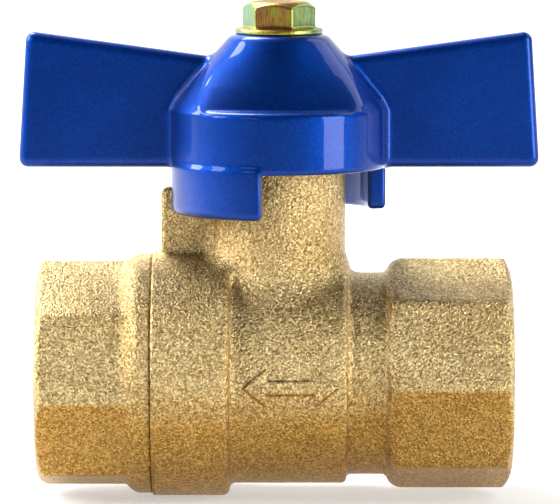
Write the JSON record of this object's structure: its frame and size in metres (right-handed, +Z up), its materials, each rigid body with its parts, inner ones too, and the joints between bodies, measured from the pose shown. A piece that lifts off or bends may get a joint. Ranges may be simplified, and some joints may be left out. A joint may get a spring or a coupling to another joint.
{
  "type": "water shutoff valve",
  "caption": "Full-bore brass ball valve with female pipe threads, octagonal wrench ends and a blue butterfly handle that turns a quarter turn.",
  "frame": {"origin": "where the pipe's axis crosses the stem's axis, at the centre of the ball", "axes": "+X along the pipe towards the end that is forged with the body, +Z up the stem towards the handle, the stop fin on the -X side of the neck"},
  "size_m": [0.065, 0.0306, 0.0619],
  "materials": {
    "forged_brass": "shot-blasted forging, satin grain",
    "turned_brass": "machined, fine turning marks",
    "ptfe": "white PTFE, waxy",
    "chromed_ball": "polished chrome plate",
    "seal_rubber": "matt black rubber",
    "blue_enamel": "glossy blue enamel on die-cast metal",
    "zinc_plate": "zinc plate with yellow chromate"
  },
  "bodies": {
    "valve_body": {"body": "forged_brass", "end_cap": "forged_brass", "seat_ring_left": "ptfe", "seat_ring_right": "ptfe", "stem_thrust_washer": "ptfe", "packing_ring_lower": "ptfe", "packing_ring_upper": "ptfe", "packing_washer": "turned_brass", "gland_nut": "turned_brass"},
    "handle_and_stem": {"handle": "blue_enamel", "handle_bolt": "zinc_plate", "stem": "turned_brass", "stem_o_ring_lower": "seal_rubber", "stem_o_ring_upper": "seal_rubber"},
    "ball": {"ball": "chromed_ball"}
  },
  "joints": [
    {"name": "handle_turn", "type": "hinge", "parent": "valve_body", "child": "handle_and_stem", "pos_m": [0, 0, 0.03], "axis": [0, 0, 1], "range_deg": [0, 90]},
    {"name": "ball_turn", "type": "hinge", "parent": "valve_body", "child": "ball", "pos_m": [0, 0, 0], "axis": [0, 0, 1], "range_deg": [0, 90]}
  ],
  "couplings": [
    {"joint": "ball_turn", "follows": "handle_turn", "ratio": 1}
  ]
}
